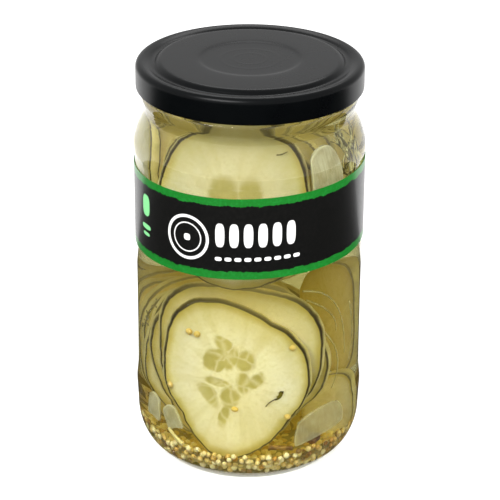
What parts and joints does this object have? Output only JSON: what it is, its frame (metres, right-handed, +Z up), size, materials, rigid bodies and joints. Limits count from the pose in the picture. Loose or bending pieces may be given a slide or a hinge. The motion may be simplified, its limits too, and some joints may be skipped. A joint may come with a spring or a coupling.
{
  "type": "pickle jar",
  "caption": "Round clear glass jar with a twist-off metal lid and a wrap-round label, packed with pickled cucumber slices in brine.",
  "frame": {"origin": "centre of the jar's base, on the plane it stands on", "axes": "+Z up along the jar's axis, the pictured front faces -Y, +X to the right of the front"},
  "size_m": [0.0868, 0.0868, 0.1586],
  "materials": {
    "clear_glass": "clear moulded glass, smooth",
    "lid_enamel": "black gloss lacquer on tinplate",
    "label_print": "satin printed paper, dark with green edges",
    "cucumber": "wet pickled cucumber, pale flesh with an olive rind",
    "seed": "wet cream and tan mustard seed",
    "onion": "translucent pickled onion layer",
    "dill": "olive pickled dill",
    "spice": "brown spice and twig",
    "brine": "clear yellow-olive brine"
  },
  "bodies": {
    "root": {"glass_jar": "clear_glass", "lid": "lid_enamel", "label": "label_print", "cucumber_slices": "cucumber", "mustard_seeds": "seed", "onion_left_upper": "onion", "onion_left_lower": "onion", "onion_right": "onion", "onion_top": "onion", "dill_sprig": "dill", "stalk_left": "dill", "stalk_front": "spice", "spice_piece": "spice"}
  },
  "joints": []
}
